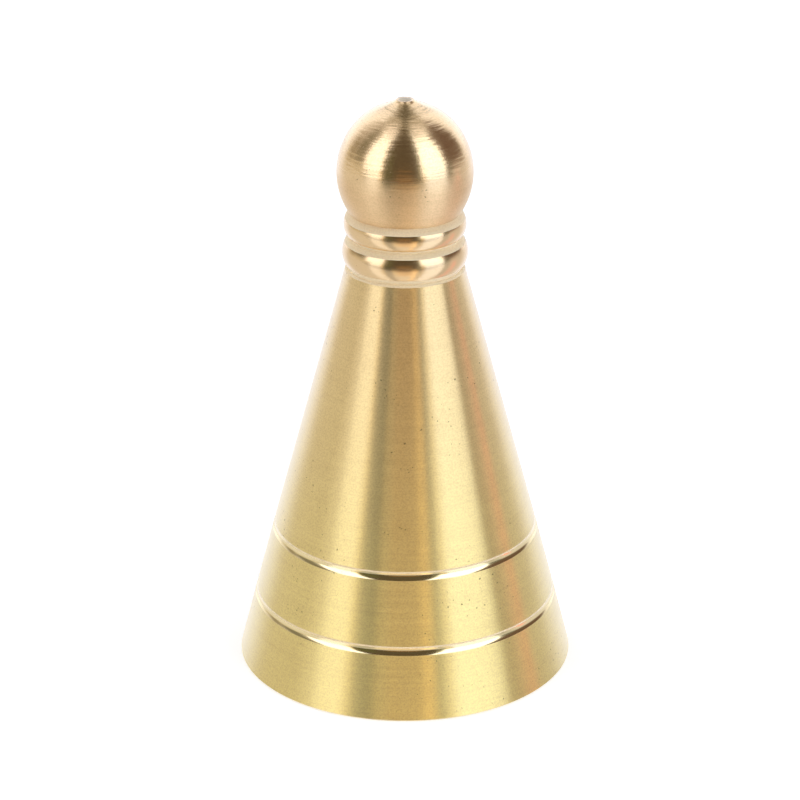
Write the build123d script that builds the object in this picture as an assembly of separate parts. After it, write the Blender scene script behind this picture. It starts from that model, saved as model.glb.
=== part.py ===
from build123d import *

import math
import os

# A turned brass spinning top, standing on its flat crown with the spinning point upwards.
# Millimetres, +Z up along the spin axis, origin at the centre of the crown face.
# Every piece is a solid of revolution about Z, drawn as an outline of (radius, height).

# ---- Conical body ----
CROWN_RADIUS = 15.0                # the wide end, which it stands on
BODY_HEIGHT = 37.0                 # from the crown face to the face that the finial seats on
NECK_RADIUS = 5.25                 # the narrow end
CROWN_EDGE = 0.18                  # bevel round the crown
NECK_EDGE = 0.17                   # bevel round the neck face
GROOVES = [(13.47, 6.13), (11.79, 12.56)]    # middle of each decorative groove, lowest first
GROOVE_WIDTH = 0.80
GROOVE_DEPTH = 0.12

# ---- Hollow inside the body ----
MOUTH_RADIUS = 12.2                # at the crown face
MOUTH_BEVEL = 0.35
HOLLOW_HEIGHT = 26.0               # where the tapered wall ends
WALL_THICKNESS = 2.7               # across the axis, at the top of the tapered wall
DRILL_POINT_ANGLE = 118.0          # the roof is the cone that a drill leaves

# ---- Screwed joint between body and finial (M5 x 0.8) ----
THREAD_RADIUS = 2.5                # both threads are plain cylinders here
THREAD_CLEARANCE = 0.05            # radial, between stud and neck
BOND_CLEARANCE = 0.02              # radial, between stud and finial, filled with thread lock
STUD_REACH_DOWN = 6.8              # below the seat face
STUD_REACH_UP = 5.5                # above it, inside the ball
STUD_BEVEL = 0.5
DRILLED_BEYOND = 0.6               # how far the finial's hole runs past the stud
SOCKET_RADIUS = 3.75               # counterbore in the neck face for the friction ring
SOCKET_DEPTH = 1.1
RING_GAP = 0.025                   # round the friction ring on every side
RING_CORNER = 0.3

# ---- Finial: seat, two beads and ball ----
SEAT_RADIUS = 5.0                  # the finial's flat underside
COLLAR = (5.12, 37.22)             # where its bevel meets the lower bead
LOWER_BEAD = (5.48, 38.60)         # widest point of each bead
BEAD_NOTCH = (4.88, 39.82)         # between the beads
UPPER_BEAD = (5.34, 40.95)
BALL_FOOT_HEIGHT = 42.05           # where the upper bead meets the ball
BALL_RADIUS = 5.92                 # across the axis
BALL_HALF_HEIGHT = 6.20            # along the axis, so the ball is slightly tall
BALL_HEIGHT = 45.60                # its centre
FLARE_RADIUS = 2.10                # where the ball starts to rise into the pip
FLARE_PULL = 0.50                  # how long the flare keeps the ball's slope
PIP_FOOT = (0.90, 51.94)
PIP_FACE = (0.76, 52.06)

# ---- Spinning point ----
PIN_RADIUS = 0.55
PIN_LENGTH = 4.0
PIN_DOME = 0.04                    # how far its face bulges out of the pip
PIN_BITE = 0.005                   # radial interference of the press fit
PIN_BEVEL = 0.1


def turned(outline):
    """The solid that a closed outline sweeps about Z."""
    return revolve(Plane.XZ * make_face(outline), axis=Axis.Z)


def groove_points(centre, below, above):
    """Start, bottom and end of a round-bottomed groove cut in the wall from below to above."""
    length = math.dist(below, above)
    along = Vector(above[0] - below[0], above[1] - below[1]) / length
    inward = Vector(-along.Y, along.X)
    middle = Vector(*centre)
    half = along * (GROOVE_WIDTH / 2)
    return middle - half, middle + inward * GROOVE_DEPTH, middle + half


def body_wall():
    """Outer wall of the cone from crown to neck, with its grooves."""
    start = (CROWN_RADIUS, CROWN_EDGE)
    corners = [start, *GROOVES, (NECK_RADIUS, BODY_HEIGHT - NECK_EDGE)]
    edges = []
    reached = start
    for below, centre, above in zip(corners, corners[1:], corners[2:]):
        first, bottom, last = groove_points(centre, below, above)
        edges += [Line(reached, first), ThreePointArc(first, bottom, last)]
        reached = last
    edges.append(Line(reached, corners[-1]))
    return edges


def cone_body():
    """Hollow cone, open at the crown and bored through at the neck."""
    bore = THREAD_RADIUS + THREAD_CLEARANCE
    taper = (CROWN_RADIUS - NECK_RADIUS) / BODY_HEIGHT
    roof_radius = CROWN_RADIUS - taper * HOLLOW_HEIGHT - WALL_THICKNESS
    roof_rise = (roof_radius - bore) / math.tan(math.radians(DRILL_POINT_ANGLE / 2))
    socket_floor = BODY_HEIGHT - SOCKET_DEPTH
    inside = Polyline(
        (NECK_RADIUS, BODY_HEIGHT - NECK_EDGE),
        (NECK_RADIUS - NECK_EDGE, BODY_HEIGHT),
        (SOCKET_RADIUS, BODY_HEIGHT),
        (SOCKET_RADIUS, socket_floor),
        (bore, socket_floor),
        (bore, HOLLOW_HEIGHT + roof_rise),
        (roof_radius, HOLLOW_HEIGHT),
        (MOUTH_RADIUS, MOUTH_BEVEL),
        (MOUTH_RADIUS + MOUTH_BEVEL, 0),
        (CROWN_RADIUS - CROWN_EDGE, 0),
        (CROWN_RADIUS, CROWN_EDGE),
    )
    return turned(body_wall() + inside.edges())


def ball_wall():
    """The ball's outline: an oval, then a flare up into the pip."""
    foot_turn = math.asin((BALL_FOOT_HEIGHT - BALL_HEIGHT) / BALL_HALF_HEIGHT)
    flare_turn = math.acos(FLARE_RADIUS / BALL_RADIUS)
    oval = EllipticalCenterArc(
        (0, BALL_HEIGHT),
        BALL_RADIUS,
        BALL_HALF_HEIGHT,
        start_angle=math.degrees(foot_turn),
        arc_size=math.degrees(flare_turn - foot_turn),
    )
    flare_start = oval @ 1
    flare = Bezier(
        flare_start,
        flare_start + (oval % 1) * FLARE_PULL,
        Vector(*PIP_FOOT) * 2 - Vector(*PIP_FACE),
        PIP_FOOT,
    )
    return oval, flare


def ball_finial():
    """Seat, two beads and ball in one piece, with a hole for the stud and one for the pin."""
    oval, flare = ball_wall()
    ball_foot = oval @ 0
    pin_hole = PIN_RADIUS - PIN_BITE
    pin_floor = PIP_FACE[1] - PIN_LENGTH
    stud_hole = THREAD_RADIUS + BOND_CLEARANCE
    stud_floor = BODY_HEIGHT + STUD_REACH_UP + DRILLED_BEYOND
    inside = Polyline(
        PIP_FOOT,
        PIP_FACE,
        (pin_hole, PIP_FACE[1]),
        (pin_hole, pin_floor),
        (0, pin_floor),
        (0, stud_floor),
        (stud_hole, stud_floor),
        (stud_hole, BODY_HEIGHT),
        (SEAT_RADIUS, BODY_HEIGHT),
        COLLAR,
    )
    beads = [
        ThreePointArc(COLLAR, LOWER_BEAD, BEAD_NOTCH),
        ThreePointArc(BEAD_NOTCH, UPPER_BEAD, ball_foot),
    ]
    return turned([*beads, oval, flare, *inside.edges()])


def tip_pin():
    """Hard steel pin pressed into the pip, with a slightly domed face to spin on."""
    rim_height = PIP_FACE[1]
    foot = rim_height - PIN_LENGTH
    shank = Polyline(
        (PIN_RADIUS, rim_height),
        (PIN_RADIUS, foot + PIN_BEVEL),
        (PIN_RADIUS - PIN_BEVEL, foot),
        (0, foot),
        (0, rim_height + PIN_DOME),
    )
    dome = ThreePointArc(
        (-PIN_RADIUS, rim_height), (0, rim_height + PIN_DOME), (PIN_RADIUS, rim_height)
    ).trim(0.5, 1)
    return turned([dome, *shank.edges()])


def threaded_stud():
    """Headless steel stud: the upper half is locked into the finial, the lower screws into the neck."""
    top = BODY_HEIGHT + STUD_REACH_UP
    bottom = BODY_HEIGHT - STUD_REACH_DOWN
    outline = Polyline(
        (0, bottom),
        (THREAD_RADIUS - STUD_BEVEL, bottom),
        (THREAD_RADIUS, bottom + STUD_BEVEL),
        (THREAD_RADIUS, top - STUD_BEVEL),
        (THREAD_RADIUS - STUD_BEVEL, top),
        (0, top),
        close=True,
    )
    return turned(outline.edges())


def friction_ring():
    """Rubber ring squeezed into the neck's counterbore, which stops the finial from working loose."""
    inner = THREAD_RADIUS + RING_GAP
    outer = SOCKET_RADIUS - RING_GAP
    bottom = BODY_HEIGHT - SOCKET_DEPTH + RING_GAP
    top = BODY_HEIGHT - RING_GAP
    section = Pos((inner + outer) / 2, (bottom + top) / 2) * RectangleRounded(
        outer - inner, top - bottom, RING_CORNER
    )
    return revolve(Plane.XZ * section, axis=Axis.Z)


PIECES = {
    "cone_body": cone_body,
    "ball_finial": ball_finial,
    "tip_pin": tip_pin,
    "threaded_stud": threaded_stud,
    "friction_ring": friction_ring,
}

os.makedirs("parts", exist_ok=True)
for name, make in PIECES.items():
    export_step(make(), f"parts/{name}.step")
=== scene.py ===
import math

import bpy
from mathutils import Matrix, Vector


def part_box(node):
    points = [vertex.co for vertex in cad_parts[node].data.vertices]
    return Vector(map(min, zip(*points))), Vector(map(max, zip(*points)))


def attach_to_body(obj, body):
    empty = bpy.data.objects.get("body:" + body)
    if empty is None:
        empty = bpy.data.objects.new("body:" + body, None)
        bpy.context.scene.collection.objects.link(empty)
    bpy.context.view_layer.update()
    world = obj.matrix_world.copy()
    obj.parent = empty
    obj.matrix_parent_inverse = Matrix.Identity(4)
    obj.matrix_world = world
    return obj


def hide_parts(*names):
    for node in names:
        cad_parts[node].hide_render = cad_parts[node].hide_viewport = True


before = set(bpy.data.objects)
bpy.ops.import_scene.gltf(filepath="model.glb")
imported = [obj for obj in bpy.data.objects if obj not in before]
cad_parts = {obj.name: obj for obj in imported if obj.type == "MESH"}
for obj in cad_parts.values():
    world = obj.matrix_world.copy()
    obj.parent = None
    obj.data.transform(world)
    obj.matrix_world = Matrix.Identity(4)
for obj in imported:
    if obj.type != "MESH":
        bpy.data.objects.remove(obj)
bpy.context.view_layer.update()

# A turned brass spinning top, standing on its flat crown with the spinning point upwards.
# Outlines are (radius, height) in millimetres in the CAD frame. The meshes are in metres.
MM = 0.001

# Outlines: points closer than the first are one point, and a radius below the second is on the axis
SAME_POINT = 1e-6
ON_AXIS = 1e-9
NEAR_AXIS = 0.01                   # least radius that a direction round the axis is worked out with


def reach(node):
    """Greatest radius, lowest height and highest height of a CAD node, in millimetres."""
    low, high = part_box(node)
    return high.x / MM, low.z / MM, high.z / MM


CROWN_RADIUS, _, BODY_HEIGHT = reach("cone_body")
BALL_RADIUS, _, PIP_HEIGHT = reach("ball_finial")
PIN_RADIUS, PIN_FOOT, PIN_TOP = reach("tip_pin")
STUD_RADIUS, STUD_FOOT, STUD_TOP = reach("threaded_stud")
RING_RADIUS, RING_FOOT, RING_TOP = reach("friction_ring")

# Conical body
NECK_RADIUS = 5.25
CROWN_EDGE = 0.18
NECK_EDGE = 0.17
GROOVES = [(13.47, 6.13), (11.79, 12.56)]
GROOVE_WIDTH = 0.80
GROOVE_DEPTH = 0.12
GROOVE_LIP = 0.23                  # the groove is matt from here above its middle
MOUTH_RADIUS = 12.2
MOUTH_BEVEL = 0.35
HOLLOW_HEIGHT = 26.0
ROOF_RADIUS = 5.45
DRILL_SLOPE = 1 / math.tan(math.radians(59))
SOCKET_RADIUS = 3.75
SOCKET_DEPTH = 1.1

# Screw thread of the stud and the neck, and of the finial's hole
PITCH = 0.8
THREAD_DEPTH = 0.44
THREAD_ROOT = 0.12                 # share of the flank's rise where the rounded root ends
THREAD_FLANK = 0.70                # share of it that the flank takes
THREAD_GAP = 0.05
BOND_GAP = 0.02
STUD_BEVEL = 0.5
STUD_END_GAP = 0.01                # from each flat end to the first row of the thread
DRILLED_BEYOND = 0.6

# Finial
SEAT_RADIUS = 5.0
COLLAR = (5.12, 37.22)
LOWER_BEAD = (5.48, 38.60)
BEAD_NOTCH = (4.88, 39.82)
UPPER_BEAD = (5.34, 40.95)
POLISHED_HEIGHTS = (39.35, 41.50)  # the polish on each bead ends here, above its widest point
CREASE_HEIGHT = 0.25               # the foot of each bead is matt up to here above its crease
BALL_FOOT_HEIGHT = 42.05
BALL_HEIGHT = 45.60
BALL_HALF_HEIGHT = 6.20
BALL_MATT_FOOT = (44.8, 47.1)      # the ball is matt below the first height and satin above the second
FLARE_RADIUS = 2.10
FLARE_PULL = 0.50
PIP_FOOT = (0.90, 51.94)
PIP_FACE_RADIUS = 0.76
SCRIBED_HEIGHTS = (45.32, 45.78)   # fine lines round the ball, where two tools met
SCRIBE_WIDTH = 0.10
SCRIBE_DEPTH = 0.005

# Pin and ring
PIN_DOME = 0.04
PIN_BEVEL = 0.1
RING_INNER_RADIUS = 2.525
RING_CORNER = 0.3

# How finely the outlines are divided, and how many columns a turned mesh has round the axis
WALL_STEP = 0.5                    # millimetres between rows, as are the next two
ROOF_STEP = 0.6
INNER_WALL_STEP = 1.0
GROOVE_STEPS = 14
BEAD_STEPS = 60
OVAL_STEPS = 110
FLARE_STEPS = 24
SCRIBE_STEPS = 8
DOME_STEPS = 16
CORNER_STEPS = 6
ROWS_PER_THREAD = 16
ROWS_PER_BORE_THREAD = 14
COLUMNS = {"body": 360, "finial": 256, "pin": 64, "stud": 180, "ring": 128}
SHARP_ANGLE = math.radians(18)

# Camera: place, lens and sensor in millimetres, tilt in degrees, shift in widths of the picture, and
# the nearest distance it sees, in metres
CAMERA_PLACE = (0.0, -253.4, 130.9)
CAMERA_TILT = 22.83
CAMERA_LENS = 139.3
CAMERA_SENSOR = 36.0
CAMERA_SHIFT = -0.00625
CAMERA_NEAR = 0.01


# ---------------------------------------------------------------- outlines

def arc(start, via, end, steps):
    """Points on the circle through three points."""
    (ax, ay), (bx, by), (cx, cy) = start, via, end
    bend = 2 * (ax * (by - cy) + bx * (cy - ay) + cx * (ay - by))
    a2, b2, c2 = ax * ax + ay * ay, bx * bx + by * by, cx * cx + cy * cy
    ux = (a2 * (by - cy) + b2 * (cy - ay) + c2 * (ay - by)) / bend
    uy = (a2 * (cx - bx) + b2 * (ax - cx) + c2 * (bx - ax)) / bend
    radius = math.hypot(ax - ux, ay - uy)
    first = math.atan2(ay - uy, ax - ux)
    via_turn = (math.atan2(by - uy, bx - ux) - first) % math.tau
    turn = (math.atan2(cy - uy, cx - ux) - first) % math.tau
    if via_turn > turn:
        turn -= math.tau
    angles = [first + turn * i / steps for i in range(steps + 1)]
    return [(ux + radius * math.cos(a), uy + radius * math.sin(a)) for a in angles]


def curve(p0, p1, p2, p3, steps):
    """Points on a cubic curve with two control points."""
    points = []
    for i in range(steps + 1):
        t = i / steps
        weights = ((1 - t) ** 3, 3 * (1 - t) ** 2 * t, 3 * (1 - t) * t * t, t**3)
        corners = list(zip(weights, (p0, p1, p2, p3)))
        points.append(tuple(sum(weight * corner[k] for weight, corner in corners) for k in (0, 1)))
    return points


def line(start, end, step=WALL_STEP):
    """Points on a straight line, about one step apart."""
    count = max(1, round(math.dist(start, end) / step))
    (ax, ay), (bx, by) = start, end
    return [(ax + (bx - ax) * i / count, ay + (by - ay) * i / count) for i in range(count + 1)]


def groove_ends(centre, below, above):
    """Start, bottom and end of a round-bottomed groove in the wall that runs from below to above."""
    length = math.dist(below, above)
    along = ((above[0] - below[0]) / length, (above[1] - below[1]) / length)
    half = GROOVE_WIDTH / 2
    first = (centre[0] - along[0] * half, centre[1] - along[1] * half)
    last = (centre[0] + along[0] * half, centre[1] + along[1] * half)
    bottom = (centre[0] - along[1] * GROOVE_DEPTH, centre[1] + along[0] * GROOVE_DEPTH)
    return first, bottom, last


# ---------------------------------------------------------------- turned meshes

def thread_depth(height, share):
    """How far the thread's surface lies below its crest, at a height and a share of a full turn."""
    phase = (height / PITCH - share) % 1.0
    rise = (abs(phase - 0.5) * 2 - THREAD_ROOT) / THREAD_FLANK
    return THREAD_DEPTH * (1 - min(1.0, max(0.0, rise)))


def outline_rows(stretches):
    """The outline's points as rows of (finish, point, cut), without repeats where stretches meet."""
    rows = []
    for finish, points, cut in stretches:
        for point in points:
            if rows and math.dist(rows[-1][1], point) < SAME_POINT:
                continue
            rows.append((finish, point, cut))
    if rows[0][1][0] > ON_AXIS and math.dist(rows[0][1], rows[-1][1]) < SAME_POINT:
        rows.pop()
    return rows


def turned_vertices(rows, columns):
    """The vertices of every row, and the number of each row's first one. A row on the axis has one."""
    vertices, starts = [], []
    for _, (radius, height), cut in rows:
        starts.append(len(vertices))
        if radius < ON_AXIS:
            vertices.append((0, 0, height * MM))
            continue
        for j in range(columns):
            r = cut(radius, height, j / columns) if cut else radius
            angle = math.tau * j / columns
            vertices.append((r * math.cos(angle) * MM, r * math.sin(angle) * MM, height * MM))
    return vertices, starts


def turned_faces(rows, starts, columns):
    """The faces between neighbouring rows, and the finish of each."""
    faces, finishes = [], []
    open_ended = rows[0][1][0] < ON_AXIS
    for i in range(len(rows) - 1 if open_ended else len(rows)):
        k = (i + 1) % len(rows)
        a, b = starts[i], starts[k]
        for j in range(columns):
            n = (j + 1) % columns
            if rows[i][1][0] < ON_AXIS:
                faces.append((a, b + n, b + j))
            elif rows[k][1][0] < ON_AXIS:
                faces.append((a + j, a + n, b))
            else:
                faces.append((a + j, a + n, b + n, b + j))
            finishes.append(rows[k][0])
    return faces, finishes


def turned(name, stretches, materials, columns):
    """A mesh turned about Z from stretches of (finish, points, cut).

    A cut is a function of (radius, height, share of a turn) that gives the radius there, or None.
    An outline that starts off the axis is closed on itself.
    """
    rows = outline_rows(stretches)
    vertices, starts = turned_vertices(rows, columns)
    faces, finishes = turned_faces(rows, starts, columns)
    mesh = bpy.data.meshes.new(name)
    mesh.from_pydata(vertices, [], faces)
    mesh.polygons.foreach_set("material_index", finishes)
    mesh.shade_smooth()
    mesh.set_sharp_from_angle(angle=SHARP_ANGLE)
    for material in materials:
        mesh.materials.append(material)
    piece = bpy.data.objects.new(name, mesh)
    bpy.context.scene.collection.objects.link(piece)
    return piece


def attach(piece, node, body):
    """The piece stands for a CAD node, which is hidden, and moves with its body."""
    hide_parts(node)
    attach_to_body(piece, body)


# ---------------------------------------------------------------- node graphs

class Graph:
    """A node tree that is built with one short call per node."""

    def __init__(self, owner):
        owner.use_nodes = True
        self.tree = owner.node_tree
        self.tree.nodes.clear()

    def feed(self, socket, value):
        """Links a value that is another node's output, or else sets it."""
        if isinstance(value, bpy.types.NodeSocket):
            self.tree.links.new(value, socket)
        else:
            socket.default_value = value

    def add(self, kind, inputs=None, **settings):
        """A new node, with its settings and what goes into its inputs."""
        node = self.tree.nodes.new("ShaderNode" + kind)
        for name, value in settings.items():
            setattr(node, name, value)
        for name, value in (inputs or {}).items():
            self.feed(node.inputs[name], value)
        return node

    def calc(self, operation, *values):
        node = self.add("Math", operation=operation)
        for socket, value in zip(node.inputs, values):
            self.feed(socket, value)
        return node.outputs[0]

    def step(self, value, low, high, out_low=0.0, out_high=1.0):
        """Rises smoothly from out_low to out_high as value goes from low to high."""
        inputs = {0: value, 1: low, 2: high, 3: out_low, 4: out_high}
        return self.add("MapRange", inputs, interpolation_type="SMOOTHSTEP").outputs[0]

    def blend(self, share, a, b):
        """A colour that goes from a to b."""
        node = self.add("Mix", data_type="RGBA")
        self.feed(node.inputs[0], share)
        self.feed(node.inputs[6], a)
        self.feed(node.inputs[7], b)
        return node.outputs[2]

    def noise(self, vector, scale, detail=2.0, w=None):
        inputs = {"Vector": vector, "Scale": scale, "Detail": detail}
        if w is not None:
            inputs["W"] = w
        dimensions = "3D" if w is None else "4D"
        return self.add("TexNoise", inputs, noise_dimensions=dimensions).outputs[0]

    def join(self, x, y, z):
        return self.add("CombineXYZ", {0: x, 1: y, 2: z}).outputs[0]


def colour(red, green, blue):
    return (red, green, blue, 1.0)


class Surface(Graph):
    """A material's node tree, with the places that a turned surface needs, in millimetres."""

    def __init__(self, name):
        self.material = bpy.data.materials.new(name)
        super().__init__(self.material)
        place = self.add("TexCoord").outputs["Object"]
        scaled = self.add("VectorMath", {0: place, "Scale": 1 / MM}, operation="SCALE")
        self.place = scaled.outputs[0]
        split = self.add("SeparateXYZ", {0: self.place})
        x, y, self.height = split.outputs
        squares = self.calc("ADD", self.calc("MULTIPLY", x, x), self.calc("MULTIPLY", y, y))
        self.radius = self.calc("SQRT", squares)
        safe = self.calc("MAXIMUM", self.radius, NEAR_AXIS)
        self.cosine = self.calc("DIVIDE", x, safe)
        self.sine = self.calc("DIVIDE", y, safe)

    def rings(self, per_mm, round_scale, detail=2.0):
        """Noise that runs round the axis: fine along the outline, slow round it."""
        across = self.calc("MULTIPLY", self.radius, per_mm)
        along = self.calc("MULTIPLY", self.height, per_mm)
        third = self.calc("MULTIPLY", self.cosine, round_scale)
        fourth = self.calc("MULTIPLY", self.sine, round_scale)
        return self.noise(self.join(across, along, third), 1.0, detail, w=fourth)

    def specks(self, cells_per_mm, share, size):
        """1 in small ragged spots in a share of the cells, and 0 elsewhere."""
        wobble = self.add("TexNoise", {"Vector": self.place, "Scale": RAGGED_SCALE}).outputs[1]
        ragged = self.add("VectorMath", {0: wobble, "Scale": RAGGED_REACH}, operation="SCALE").outputs[0]
        ragged = self.add("VectorMath", {0: self.place, 1: ragged}, operation="ADD").outputs[0]
        cells = self.add("TexVoronoi", {"Vector": ragged, "Scale": cells_per_mm}, feature="F1")
        red, green, _ = self.add("SeparateColor", {0: cells.outputs["Color"]}).outputs
        chosen = self.calc("LESS_THAN", red, share)
        limit = self.calc("MULTIPLY", self.calc("ADD", green, SMALLEST_PIT), size * cells_per_mm)
        flat = self.calc("MULTIPLY", limit, PIT_FLAT)
        spot = self.step(cells.outputs["Distance"], flat, limit, 1.0, 0.0)
        return self.calc("MULTIPLY", spot, chosen)

    def leaning_normal(self, lean):
        """The surface's normal leaned downwards, or upwards when the lean is below 0.

        It stands for turning marks whose flanks throw light more to one side.
        """
        normal = self.add("NewGeometry").outputs["Normal"]
        leaned = self.add("VectorMath", {0: normal, 1: (0.0, 0.0, -lean)}, operation="ADD").outputs[0]
        return self.add("VectorMath", {0: leaned}, operation="NORMALIZE").outputs[0]

    def finish(self, shade, roughness, relief, relief_mm, lean=0.0, **extra):
        """Closes the tree with one principled shader and gives the material."""
        inputs = {"Strength": 1.0, "Distance": relief_mm * MM, "Height": relief}
        if lean:
            inputs["Normal"] = self.leaning_normal(lean)
        bump = self.add("Bump", inputs).outputs[0]
        inputs = {"Base Color": shade, "Roughness": roughness, "Normal": bump, **extra}
        shader = self.add("BsdfPrincipled", inputs)
        self.add("OutputMaterial", {0: shader.outputs[0]})
        return self.material


# ---------------------------------------------------------------- materials

# Colours
YELLOW_BRASS_LOW = colour(0.94, 0.75, 0.30)
YELLOW_BRASS_HIGH = colour(0.92, 0.68, 0.34)
YELLOW_TO_RED = (8.0, 40.0)        # heights between which the yellow brass turns redder
YELLOW_DRIFT = 6.0                 # millimetres by which those heights wander
RED_BRASS = colour(0.92, 0.66, 0.38)
BRIGHT_BRASS = colour(0.95, 0.78, 0.45)
# Painted shade: a darker copy of the red brass for the polished bead crests
BRASS_PAINTED_DARKER = colour(0.85, 0.61, 0.35)
# Painted light: a paler copy of the brass for the matt bands, lighter than the alloy itself
BRASS_PAINTED_PALER = colour(1.00, 0.89, 0.68)
# Painted highlight: a pale sheen that is blended into the brass's colour towards glancing angles
GLANCING_SHEEN_PAINT = colour(1.00, 0.95, 0.88)
GLANCING_SHEEN_FACING = (0.45, 0.95)         # 0 faces the eye and 1 is edge-on: the painted sheen comes in between these
# Brown of the tarnish stains, also used as the painted contact shadow on the crown's edge
TARNISH_AND_SHADOW_BROWN = colour(0.62, 0.42, 0.20)
PIT_BROWN = colour(0.16, 0.10, 0.05)
DULL_STEEL = colour(0.30, 0.27, 0.23)
BLACK_RUBBER = colour(0.018, 0.018, 0.020)
DUSTY_RUBBER = colour(0.055, 0.053, 0.050)

# Noises: how many to a millimetre, and detail
YELLOW_NOISE = (0.09, 3.0)
CLOUD_NOISE = (0.35, 4.0)
GRAIN_NOISE = (7.0, 3.0)
PATCH_NOISE = (0.20, 1.0)
STEEL_NOISE = (2.0, 4.0)
DUST_NOISE = (3.0, 4.0)
RUBBER_NOISE = (22.0, 3.0)

# Marks that run round the axis: how many to a millimetre, how quickly they change round it, and detail
FINE_LINES = (9.0, 1.2, 3.0)
TURNING_MARKS = (4.0, 2.0, 1.0)
GRINDING_LINES = (12.0, 1.5, 2.0)
GRAIN_TO_LINES = 3.0               # depth of the brass's grain over the depth of its fine lines
GRINDING_DEPTH = 0.0008            # millimetres, as is the rubber's grain
RUBBER_GRAIN_DEPTH = 0.008

# Stains: the noise values between which one comes in, and how strongly it is coloured
CLOUD_TARNISH = (0.45, 0.75, 0.08)
GRAIN_TARNISH = (0.35, 0.70, 0.40)
LINE_TARNISH = (0.40, 0.70, 0.15)
STEEL_DULLING = (0.40, 0.70, 0.35)
RUBBER_DUST = (0.45, 0.75, 0.40)

# Roughness: the smoothest brass has this share of the stated one, and the marks add the next two
SMOOTHEST = 0.75
FINE_ROUGHNESS = 0.2
COARSE_ROUGHNESS = 0.3
CLOUD_ROUGHNESS = 0.12             # added to the steel's by its clouds
RUBBER_ROUGHNESS = 0.55
RUBBER_GRAIN_ROUGHNESS = 0.2       # added to it by the grain

QUARTER_TURN = 0.25                # stretches the light along the outline, across the marks

# Matt foot of a surface
FOOT_ROUGHNESS = 0.30              # added to the roughness there
FOOT_MARKS = 0.1                   # share of the turning marks' depth left there

# Pits, in millimetres
PITS_PER_MM = 2.2
PITTED = (0.50, 0.60)              # noise values between which a patch of pits begins
PITTED_SHARE = 0.8                 # share of the places in such a patch that hold a pit
PIT_RADIUS = 0.075
SMALLEST_PIT = 0.35                # least radius over the stated one
PIT_FLAT = 0.5                     # share of a pit's radius that is fully dark
PIT_DEPTH = 0.004
PIT_SHARE = 0.60                   # how strongly a pit is coloured
PIT_ROUGHNESS = 0.3
RAGGED_SCALE = 7.0                 # how fine the wobble of a pit's outline is
RAGGED_REACH = 0.25                # how far it reaches


def brass_shade(surface, low, high, wear, edge, grain, fine, pits):
    """The alloy's colour, redder upwards, under clouds, grain and lines of tarnish and dark pits, with a
    painted pale sheen blended in towards glancing angles.
    """
    drift = surface.calc("MULTIPLY", surface.noise(surface.place, *YELLOW_NOISE), YELLOW_DRIFT)
    rise = surface.step(surface.calc("ADD", surface.height, drift), *YELLOW_TO_RED)
    shade = surface.blend(rise, low, high)
    cloud = surface.noise(surface.place, *CLOUD_NOISE)
    stains = [(cloud, CLOUD_TARNISH), (grain, GRAIN_TARNISH), (fine, LINE_TARNISH)]
    for noise, (clean, stained, most) in stains:
        stain = surface.step(noise, clean, stained, 0.0, most * wear)
        shade = surface.blend(stain, shade, TARNISH_AND_SHADOW_BROWN)
    shade = surface.blend(surface.calc("MULTIPLY", pits, PIT_SHARE), shade, PIT_BROWN)
    # painted sheen: the colour turns pale towards glancing angles
    facing = surface.add("LayerWeight").outputs["Facing"]
    return surface.blend(surface.step(facing, *GLANCING_SHEEN_FACING, 0.0, edge), shade, GLANCING_SHEEN_PAINT)


def brass(name, low, high, roughness, stretch, lines_mm,
          marks_mm=0.0, wear=1.0, lean=0.0, edge=0.2, matt_foot=None):
    """Turned brass. Light is drawn out along the outline by the marks that run round the axis.

    Low and high are its colours at the foot and the top of the object. The stretch is how strongly
    light is drawn out, from 0 to 1. The fine lines and the coarser turning marks have their depths in
    millimetres, and the wear sets the tarnish and the pits. The lean tilts the normals, and the edge is
    how strongly a painted pale sheen is blended into the colour at a glancing angle. The matt foot is a
    pair of heights: the marks fade out and the surface turns matt from the upper to the lower one.
    """
    surface = Surface(name)
    calc, noise = surface.calc, surface.noise
    grain = noise(surface.place, *GRAIN_NOISE)
    fine = surface.rings(*FINE_LINES)
    coarse = surface.rings(*TURNING_MARKS)
    patches = surface.step(noise(surface.place, *PATCH_NOISE), *PITTED)
    pits = calc("MULTIPLY", surface.specks(PITS_PER_MM, PITTED_SHARE * wear, PIT_RADIUS), patches)
    shade = brass_shade(surface, low, high, wear, edge, grain, fine, pits)
    rough = calc("ADD", roughness * SMOOTHEST, calc("MULTIPLY", fine, roughness * FINE_ROUGHNESS))
    rough = calc("ADD", rough, calc("MULTIPLY", coarse, roughness * COARSE_ROUGHNESS))
    rough = calc("ADD", rough, calc("MULTIPLY", pits, PIT_ROUGHNESS))
    if matt_foot:
        rough = calc("ADD", rough, surface.step(surface.height, *matt_foot, FOOT_ROUGHNESS, 0.0))
        coarse = calc("MULTIPLY", coarse, surface.step(surface.height, *matt_foot, FOOT_MARKS, 1.0))
    relief = calc("ADD", calc("MULTIPLY", fine, lines_mm), calc("MULTIPLY", coarse, marks_mm))
    relief = calc("ADD", relief, calc("MULTIPLY", grain, lines_mm * GRAIN_TO_LINES))
    relief = calc("SUBTRACT", relief, calc("MULTIPLY", pits, PIT_DEPTH * wear))
    tangent = surface.add("Tangent", direction_type="RADIAL", axis="Z").outputs[0]
    return surface.finish(
        shade, rough, relief, 1.0, lean,
        Metallic=1.0, Anisotropic=stretch, Tangent=tangent, **{"Anisotropic Rotation": QUARTER_TURN},
    )


def steel(name, shade, roughness):
    """Ground or plated steel: fine lines round the axis and dull clouds."""
    surface = Surface(name)
    lines = surface.rings(*GRINDING_LINES)
    cloud = surface.noise(surface.place, *STEEL_NOISE)
    clean, dulled, most = STEEL_DULLING
    tone = surface.blend(surface.step(cloud, clean, dulled, 0.0, most), shade, DULL_STEEL)
    rough = surface.calc("ADD", roughness, surface.calc("MULTIPLY", cloud, CLOUD_ROUGHNESS))
    return surface.finish(tone, rough, lines, GRINDING_DEPTH, Metallic=1.0)


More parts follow.
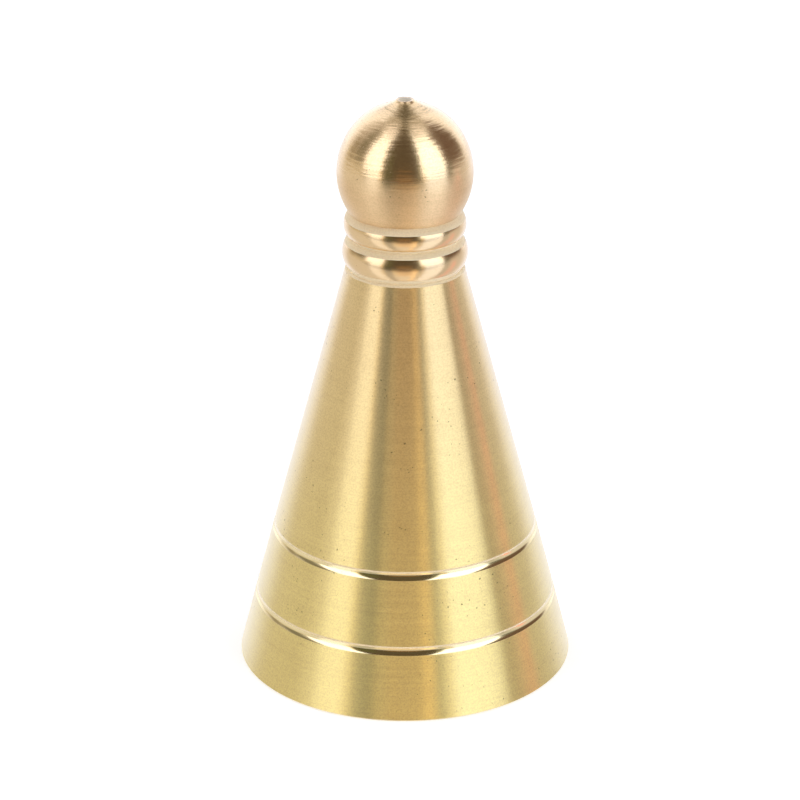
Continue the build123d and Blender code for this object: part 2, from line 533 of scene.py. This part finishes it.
def rubber(name):
    """Moulded rubber: a fine grain under clouds of dust."""
    surface = Surface(name)
    clean, dusty, most = RUBBER_DUST
    dust = surface.step(surface.noise(surface.place, *DUST_NOISE), clean, dusty, 0.0, most)
    shade = surface.blend(dust, BLACK_RUBBER, DUSTY_RUBBER)
    grain = surface.noise(surface.place, *RUBBER_NOISE)
    rough = surface.calc("ADD", RUBBER_ROUGHNESS, surface.calc("MULTIPLY", grain, RUBBER_GRAIN_ROUGHNESS))
    return surface.finish(shade, rough, grain, RUBBER_GRAIN_DEPTH)


SATIN_BODY = brass(
    "satin_yellow_brass", YELLOW_BRASS_LOW, YELLOW_BRASS_HIGH, roughness=0.31, stretch=1.0,
    lines_mm=0.0005, marks_mm=0.0014, lean=0.22, edge=0.40,
)
POLISHED_BODY = brass(
    "bright_yellow_brass", BRIGHT_BRASS, BRIGHT_BRASS, roughness=0.12, stretch=0.5,
    lines_mm=0.0002, wear=0.3,
)
BORED_BODY = brass(
    "bored_yellow_brass", YELLOW_BRASS_LOW, YELLOW_BRASS_LOW, roughness=0.42, stretch=0.6,
    lines_mm=0.004, marks_mm=0.006, wear=1.5,
)
# Matt finish, with its colour painted paler than the alloy as painted light
MATT_BODY = brass(
    "pale_yellow_brass", BRASS_PAINTED_PALER, BRASS_PAINTED_PALER, roughness=0.85, stretch=0.0,
    lines_mm=0.0006, wear=0.3,
)
# Painted shadow: the crown's bottom edge is coloured dark brown as the contact shadow at the floor
PAINTED_SHADOW_BODY = brass(
    "tarnished_yellow_brass", TARNISH_AND_SHADOW_BROWN, TARNISH_AND_SHADOW_BROWN, roughness=0.55, stretch=0.0,
    lines_mm=0.0006, edge=0.0,
)
SATIN_FINIAL = brass(
    "satin_red_brass", RED_BRASS, RED_BRASS, roughness=0.23, stretch=0.70,
    lines_mm=0.0015, marks_mm=0.030, wear=0.8, matt_foot=BALL_MATT_FOOT,
)
# Polished beads, with their colour painted darker than the alloy as painted shade
POLISHED_FINIAL = brass(
    "bright_red_brass", BRASS_PAINTED_DARKER, BRASS_PAINTED_DARKER, roughness=0.21, stretch=0.6,
    lines_mm=0.0003, wear=0.3,
)
# Matt finish, with its colour painted paler than the alloy as painted light
MATT_FINIAL = brass(
    "pale_red_brass", BRASS_PAINTED_PALER, BRASS_PAINTED_PALER, roughness=0.85, stretch=0.0,
    lines_mm=0.0006, wear=0.3, lean=-0.35,
)
PIN_STEEL = steel("hardened_steel", colour(0.86, 0.74, 0.56), roughness=0.50)
STUD_STEEL = steel("bright_zinc_steel", colour(0.62, 0.62, 0.60), roughness=0.25)
RUBBER = rubber("moulded_rubber")


# ---------------------------------------------------------------- the pieces

def split_outline(points, height):
    """The part of a rising outline below a height and the part above it."""
    split = next(i for i, point in enumerate(points) if point[1] > height)
    return points[:split], points[split - 1:]


def body_wall(satin, polished, matt):
    """The cone's outer wall, from above the crown's edge to below the neck's, with its grooves."""
    start, end = (CROWN_RADIUS, CROWN_EDGE), (NECK_RADIUS, BODY_HEIGHT - NECK_EDGE)
    corners = [start, *GROOVES, end]
    stretches, reached = [], start
    for below, centre, above in zip(corners, corners[1:], corners[2:]):
        first, bottom, last = groove_ends(centre, below, above)
        hollow, lip = split_outline(arc(first, bottom, last, GROOVE_STEPS), centre[1] + GROOVE_LIP)
        stretches += [
            (satin, line(reached, first), None),
            (polished, hollow, None),
            (matt, lip, None),
        ]
        reached = last
    stretches.append((satin, line(reached, end), None))
    return stretches


def make_body():
    """Hollow cone: outer wall, neck, socket, threaded bore, roof, inner wall, mouth and crown edge."""
    satin, polished, bored, matt, dull = range(5)
    bore = STUD_RADIUS + THREAD_GAP
    roof_top = HOLLOW_HEIGHT + (ROOF_RADIUS - bore) * DRILL_SLOPE
    socket_floor = BODY_HEIGHT - SOCKET_DEPTH

    def bore_thread(radius, height, share):
        """The neck's thread fits the stud's, and fades out in a bevel at both ends of the bore."""
        from_end = min(height - roof_top, socket_floor - height)
        thread_radius = radius - THREAD_DEPTH + thread_depth(height, share)
        return max(thread_radius, radius - from_end)

    wall = body_wall(satin, polished, matt)
    neck = [wall[-1][1][-1], (NECK_RADIUS - NECK_EDGE, BODY_HEIGHT), (SOCKET_RADIUS, BODY_HEIGHT)]
    socket = [(SOCKET_RADIUS, BODY_HEIGHT), (SOCKET_RADIUS, socket_floor), (bore, socket_floor)]
    stretches = [
        *wall,
        (matt, neck, None),
        (bored, socket, None),
        (bored, line((bore, socket_floor), (bore, roof_top), PITCH / ROWS_PER_BORE_THREAD), bore_thread),
        (bored, line((bore, roof_top), (ROOF_RADIUS, HOLLOW_HEIGHT), ROOF_STEP), None),
        (bored, line((ROOF_RADIUS, HOLLOW_HEIGHT), (MOUTH_RADIUS, MOUTH_BEVEL), INNER_WALL_STEP), None),
        (polished, [(MOUTH_RADIUS, MOUTH_BEVEL), (MOUTH_RADIUS + MOUTH_BEVEL, 0)], None),
        (satin, [(MOUTH_RADIUS + MOUTH_BEVEL, 0), (CROWN_RADIUS - CROWN_EDGE, 0)], None),
        # the crown's chamfer carries the painted contact shadow
        (dull, [(CROWN_RADIUS - CROWN_EDGE, 0), (CROWN_RADIUS, CROWN_EDGE)], None),
    ]
    finishes = [SATIN_BODY, POLISHED_BODY, BORED_BODY, MATT_BODY, PAINTED_SHADOW_BODY]
    piece = turned("brass_cone_body", stretches, finishes, COLUMNS["body"])
    attach(piece, "cone_body", "cone")


def scribed_oval(foot_turn, top_turn):
    """The ball's outline between two turns of its oval, with the scribed lines cut in it."""
    turns = [foot_turn + (top_turn - foot_turn) * i / OVAL_STEPS for i in range(OVAL_STEPS + 1)]
    lines = [math.asin((height - BALL_HEIGHT) / BALL_HALF_HEIGHT) for height in SCRIBED_HEIGHTS]
    half = SCRIBE_WIDTH / 2 / BALL_HALF_HEIGHT
    for line_turn in lines:
        turns += [line_turn + half * (2 * i / SCRIBE_STEPS - 1) for i in range(SCRIBE_STEPS + 1)]
    points = []
    for turn in sorted(turns):
        nearest = min(abs(turn - line_turn) for line_turn in lines)
        sink = SCRIBE_DEPTH * max(0.0, 1 - (nearest / half) ** 2)
        radius, rise = BALL_RADIUS - sink, BALL_HALF_HEIGHT - sink
        points.append((radius * math.cos(turn), BALL_HEIGHT + rise * math.sin(turn)))
    return points


def ball_points():
    """The ball's scribed oval, then the flare up into the pip."""
    foot_turn = math.asin((BALL_FOOT_HEIGHT - BALL_HEIGHT) / BALL_HALF_HEIGHT)
    flare_turn = math.acos(FLARE_RADIUS / BALL_RADIUS)
    oval = scribed_oval(foot_turn, flare_turn)
    start = oval[-1]
    slope = (-BALL_RADIUS * math.sin(flare_turn), BALL_HALF_HEIGHT * math.cos(flare_turn))
    pull = FLARE_PULL / math.hypot(*slope)
    leave = (start[0] + slope[0] * pull, start[1] + slope[1] * pull)
    arrive = (2 * PIP_FOOT[0] - PIP_FACE_RADIUS, 2 * PIP_FOOT[1] - PIP_HEIGHT)
    return oval, curve(start, leave, arrive, PIP_FOOT, FLARE_STEPS)


def bead(start, widest, end, polished_height, polished, matt):
    """A bead's outline: matt in the crease below it, polished up to a height, then matt again."""
    points = arc(start, widest, end, BEAD_STEPS)
    crease, rest = split_outline(points, start[1] + CREASE_HEIGHT)
    crest, shoulder = split_outline(rest, polished_height)
    return [(matt, crease, None), (polished, crest, None), (matt, shoulder, None)]


def make_finial():
    """Seat, two beads, ball and pip, with the holes for the stud and the pin."""
    satin, polished, matt, bored = range(4)
    oval, flare = ball_points()
    hole = STUD_RADIUS + BOND_GAP
    hole_floor = STUD_TOP + DRILLED_BEYOND
    stretches = [
        (bored, [(0, hole_floor), (hole, hole_floor), (hole, BODY_HEIGHT)], None),
        (bored, [(hole, BODY_HEIGHT), (SEAT_RADIUS, BODY_HEIGHT)], None),
        (matt, [(SEAT_RADIUS, BODY_HEIGHT), COLLAR], None),
        *bead(COLLAR, LOWER_BEAD, BEAD_NOTCH, POLISHED_HEIGHTS[0], polished, matt),
        *bead(BEAD_NOTCH, UPPER_BEAD, oval[0], POLISHED_HEIGHTS[1], polished, matt),
        (satin, oval, None),
        (satin, flare, None),
        (satin, [PIP_FOOT, (PIP_FACE_RADIUS, PIP_HEIGHT)], None),
        (satin, [(PIP_FACE_RADIUS, PIP_HEIGHT), (PIN_RADIUS, PIP_HEIGHT)], None),
        (bored, [(PIN_RADIUS, PIP_HEIGHT), (PIN_RADIUS, PIN_FOOT), (0, PIN_FOOT)], None),
    ]
    finishes = [SATIN_FINIAL, POLISHED_FINIAL, MATT_FINIAL, BORED_BODY]
    piece = turned("brass_ball_finial", stretches, finishes, COLUMNS["finial"])
    attach(piece, "ball_finial", "finial")


def make_pin():
    """Hard steel pin with a slightly domed face."""
    rim = PIN_TOP - PIN_DOME
    across = arc((PIN_RADIUS, rim), (0, PIN_TOP), (-PIN_RADIUS, rim), DOME_STEPS)
    dome = [*across[:DOME_STEPS // 2], (0, PIN_TOP)]
    shank = [
        (0, PIN_FOOT),
        (PIN_RADIUS - PIN_BEVEL, PIN_FOOT),
        (PIN_RADIUS, PIN_FOOT + PIN_BEVEL),
        (PIN_RADIUS, rim),
    ]
    piece = turned("steel_tip_pin", [(0, shank, None), (0, dome, None)], [PIN_STEEL], COLUMNS["pin"])
    attach(piece, "tip_pin", "finial")


def make_stud():
    """Threaded stud with bevelled ends."""
    end_radius = STUD_RADIUS - STUD_BEVEL

    def stud_thread(radius, height, share):
        """The thread fades out in a bevel at both ends."""
        from_end = min(height - STUD_FOOT, STUD_TOP - height)
        return min(radius - thread_depth(height, share), end_radius + from_end)

    foot = (STUD_RADIUS, STUD_FOOT + STUD_END_GAP)
    top = (STUD_RADIUS, STUD_TOP - STUD_END_GAP)
    stretches = [
        (0, [(0, STUD_FOOT), (end_radius, STUD_FOOT)], None),
        (0, line(foot, top, PITCH / ROWS_PER_THREAD), stud_thread),
        (0, [(end_radius, STUD_TOP), (0, STUD_TOP)], None),
    ]
    piece = turned("steel_threaded_stud", stretches, [STUD_STEEL], COLUMNS["stud"])
    attach(piece, "threaded_stud", "finial")


def make_ring():
    """Rubber ring with rounded corners."""
    inner, outer = RING_INNER_RADIUS + RING_CORNER, RING_RADIUS - RING_CORNER
    bottom, top = RING_FOOT + RING_CORNER, RING_TOP - RING_CORNER
    corners = [(outer, bottom, -90), (outer, top, 0), (inner, top, 90), (inner, bottom, 180)]
    points = []
    for radius, height, turn in corners:
        for i in range(CORNER_STEPS + 1):
            angle = math.radians(turn + 90 * i / CORNER_STEPS)
            points.append((radius + RING_CORNER * math.cos(angle), height + RING_CORNER * math.sin(angle)))
    points.append(points[0])
    piece = turned("rubber_friction_ring", [(0, points, None)], [RUBBER], COLUMNS["ring"])
    attach(piece, "friction_ring", "ring")


make_body()
make_finial()
make_pin()
make_stud()
make_ring()


# ---------------------------------------------------------------- studio

# Panels that stand round the object. Each has a name, the azimuth of its middle from the camera's side
# with positive to the right, its half width, the width of its soft sides, its lowest and its highest
# elevation, all in degrees, and its colour. A later panel covers an earlier one.
PANELS = [
    ("ceiling", 0, 180, 4, 60, 90, (0.50, 0.49, 0.45)),
    ("back_sweep", 180, 50, 14, -90, 58, (1.30, 1.38, 1.58)),
    ("rear_dark_strip", 180, 17, 7, 22, 90, (0.15, 0.14, 0.11)),
    ("left_foot", -98, 28, 4, -90, 12, (0.74, 0.71, 0.60)),
    ("left_wall", -94, 12, 6, 10, 58, (0.24, 0.23, 0.18)),
    ("left_patch", -113, 7, 5, 4, 27, (0.34, 0.31, 0.24)),
    ("right_wall", 102, 24, 5, 5, 58, (0.16, 0.11, 0.085)),
    ("right_foot", 81, 7, 2, -90, 12, (0.22, 0.23, 0.20)),
    ("pink_card", 100, 3, 3, -90, -12, (2.00, 0.22, 0.18)),
    ("front_low", -6, 40, 3, -90, 32, (1.20, 0.96, 0.52)),
    ("front_opening", -6, 33, 3, -12, 90, (0.11, 0.09, 0.06)),
    ("front_foot", 0, 62, 8, -90, -42, (1.15, 1.12, 1.05)),
    ("warm_card", -1, 13, 5, -24, 6, (0.36, 0.22, 0.10)),
    ("warm_foot", -1, 13, 3, -42, -20, (1.20, 0.72, 0.14)),
    ("warm_line", -1, 3, 2, -42, -20, (1.02, 0.62, 0.13)),
    ("gold_card", 18, 4, 2, -90, -12, (2.30, 1.60, 0.70)),
    ("left_dark_strip", -31, 8, 3, -90, 40, (0.12, 0.12, 0.06)),
    ("right_dark_line", 27, 3, 1.5, -90, 34, (0.26, 0.26, 0.18)),
    ("left_softbox", -59, 18, 2, 8, 70, (1.82, 1.92, 2.15)),
    ("left_softbox_top", -75, 30, 6, 60, 80, (1.10, 1.12, 1.25)),
    ("left_softbox_foot", -55, 11, 3, -90, 8, (1.65, 1.75, 1.90)),
    ("right_softbox", 52, 23, 2, 8, 71, (1.90, 2.12, 2.40)),
    ("right_softbox_top", 72, 34, 6, 60, 80, (0.95, 0.96, 1.05)),
    ("right_softbox_foot", 55, 19, 2, -90, 8, (1.75, 1.98, 2.45)),
]
PANEL_SOFTNESS = 5                 # degrees, at the foot and the top of each panel
WALLS = (0.62, 0.60, 0.60)
BACKGROUND = (1.0, 1.0, 1.0)

FLOOR_SIDES = 96
FLOOR_RADIUS = 1.5                 # metres, as is the drop below the crown
FLOOR_DROP = 0.00002
FLOOR_TONE = 0.60                  # what the floor scatters
FLOOR_SEEN_GLOW = 0.62             # light the floor sends to the camera, over what it scatters
FLOOR_MIRRORED_GLOW = 0.42         # the same, as the brass mirrors it
FLOOR_GLOSS = 0.42                 # share of the panels' feet that the brass sees in the floor
FLOOR_FRONT = (-0.150, -0.080)     # metres: the mirrored floor darkens between these on the camera's side
FLOOR_FRONT_SHARE = 0.12


def make_world():
    """Soft panels that only the object reflects, on a plain white background."""
    world = bpy.data.worlds.new("studio")
    bpy.context.scene.world = world
    graph = Graph(world)
    x, y, z = graph.add("SeparateXYZ", {0: graph.add("TexCoord").outputs["Generated"]}).outputs
    azimuth = graph.calc("DEGREES", graph.calc("ARCTAN2", x, graph.calc("MULTIPLY", y, -1.0)))
    elevation = graph.calc("DEGREES", graph.calc("ARCSINE", z))
    shade = colour(*WALLS)
    for _, middle, half, soft, low, high, tint in PANELS:
        turn = graph.calc("WRAP", graph.calc("SUBTRACT", azimuth, middle), -180.0, 180.0)
        away = graph.calc("ABSOLUTE", turn)
        across = graph.step(away, half - soft, half + soft, 1.0, 0.0)
        up = graph.step(elevation, high - PANEL_SOFTNESS, high + PANEL_SOFTNESS, 1.0, 0.0)
        over = graph.step(elevation, low - PANEL_SOFTNESS, low + PANEL_SOFTNESS)
        mask = graph.calc("MULTIPLY", across, graph.calc("MULTIPLY", up, over))
        shade = graph.blend(mask, shade, colour(*tint))
    seen = graph.add("LightPath").outputs["Is Camera Ray"]
    shade = graph.blend(seen, shade, colour(*BACKGROUND))
    light = graph.add("Background", {"Color": shade, "Strength": 1.0})
    graph.add("OutputWorld", {0: light.outputs[0]})


def floor_light(graph, seen):
    """What the floor sends out: paper that glows, darker in the brass on the camera's side."""
    depth = graph.add("SeparateXYZ", {0: graph.add("NewGeometry").outputs["Position"]}).outputs[1]
    front = graph.step(depth, *FLOOR_FRONT, FLOOR_FRONT_SHARE, 1.0)
    share = graph.add("Mix", {0: seen, 2: front, 3: 1.0}).outputs[0]
    tone = graph.calc("MULTIPLY", share, FLOOR_TONE)
    paper = graph.add("BsdfDiffuse", {"Color": graph.join(tone, tone, tone)}).outputs[0]
    glow_here = graph.add("Mix", {0: seen, 2: FLOOR_MIRRORED_GLOW, 3: FLOOR_SEEN_GLOW}).outputs[0]
    strength = graph.calc("MULTIPLY", share, glow_here)
    glow = graph.add("Emission", {"Color": colour(1, 1, 1), "Strength": strength}).outputs[0]
    return graph.add("AddShader", {0: paper, 1: glow}).outputs[0]


def floor_material():
    """The floor's light, with a share of the panels' feet in the brass, and clear from below."""
    material = bpy.data.materials.new("pale_floor")
    graph = Graph(material)
    seen = graph.add("LightPath").outputs["Is Camera Ray"]
    lit = floor_light(graph, seen)
    clear = graph.add("BsdfTransparent").outputs[0]
    gloss = graph.add("Mix", {0: seen, 2: FLOOR_GLOSS, 3: 0.0}).outputs[0]
    through = graph.calc("MAXIMUM", graph.add("NewGeometry").outputs["Backfacing"], gloss)
    mixed = graph.add("MixShader", {0: through, 1: lit, 2: clear}).outputs[0]
    graph.add("OutputMaterial", {0: mixed})
    return material


def make_floor():
    """A wide pale disc that can be looked through from below."""
    turns = [math.tau * i / FLOOR_SIDES for i in range(FLOOR_SIDES)]
    rim = [(FLOOR_RADIUS * math.cos(turn), FLOOR_RADIUS * math.sin(turn), 0) for turn in turns]
    mesh = bpy.data.meshes.new("floor")
    mesh.from_pydata(rim, [], [tuple(range(FLOOR_SIDES))])
    mesh.materials.append(floor_material())
    floor = bpy.data.objects.new("floor", mesh)
    bpy.context.scene.collection.objects.link(floor)
    floor.location.z = -FLOOR_DROP


def make_camera():
    """A long lens that looks down on the object from the front."""
    data = bpy.data.cameras.new("camera")
    data.lens = CAMERA_LENS
    data.sensor_width = CAMERA_SENSOR
    data.shift_x = CAMERA_SHIFT
    data.clip_start = CAMERA_NEAR
    camera = bpy.data.objects.new("camera", data)
    bpy.context.scene.collection.objects.link(camera)
    camera.location = Vector(CAMERA_PLACE) * MM
    camera.rotation_euler = (math.radians(90 - CAMERA_TILT), 0, 0)
    bpy.context.scene.camera = camera


make_world()
make_floor()
make_camera()
bpy.context.scene.view_settings.view_transform = "Standard"
